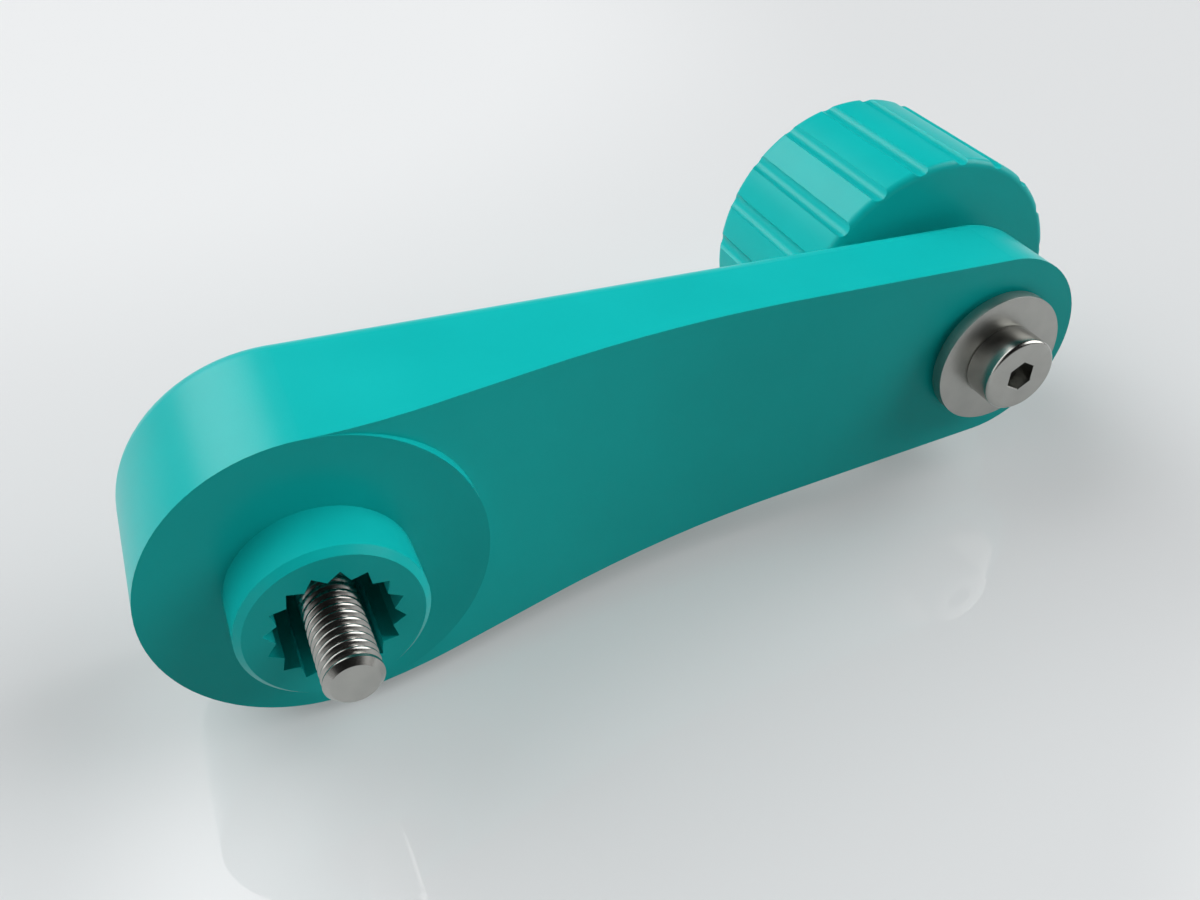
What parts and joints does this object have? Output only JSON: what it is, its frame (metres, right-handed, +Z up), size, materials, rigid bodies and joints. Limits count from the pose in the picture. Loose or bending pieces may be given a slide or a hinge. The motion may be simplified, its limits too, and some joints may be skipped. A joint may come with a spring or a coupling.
{
  "type": "crank handle",
  "caption": "Moulded crank arm with a serrated spindle socket, a through screw for the spindle's tapped hole and a fluted finger knob that turns freely on a bushed pivot.",
  "frame": {"origin": "on the spindle axis, in the end face of the boss that meets the machine", "axes": "+X along the arm to the knob, -Y out of the mounting side along the spindle axis, +Z up with the spindle axis level"},
  "size_m": [0.1267, 0.0589, 0.04],
  "materials": {
    "arm_plastic": "satin moulded, teal",
    "knob_plastic": "satin moulded, teal",
    "steel": "plain stainless, satin faces with bright rounded edges",
    "brass": "turned"
  },
  "bodies": {
    "arm": {"crank_arm": "arm_plastic", "hub_screw": "steel", "hub_washer": "steel"},
    "knob": {"knob": "knob_plastic", "knob_insert": "brass", "pivot_bush": "steel", "front_washer": "steel", "thrust_washer": "steel", "knob_screw": "steel"}
  },
  "joints": [
    {"name": "knob_spin", "type": "hinge", "parent": "arm", "child": "knob", "pos_m": [0.0887, 0.0279, 0], "axis": [0, 1, 0], "continuous": true}
  ]
}
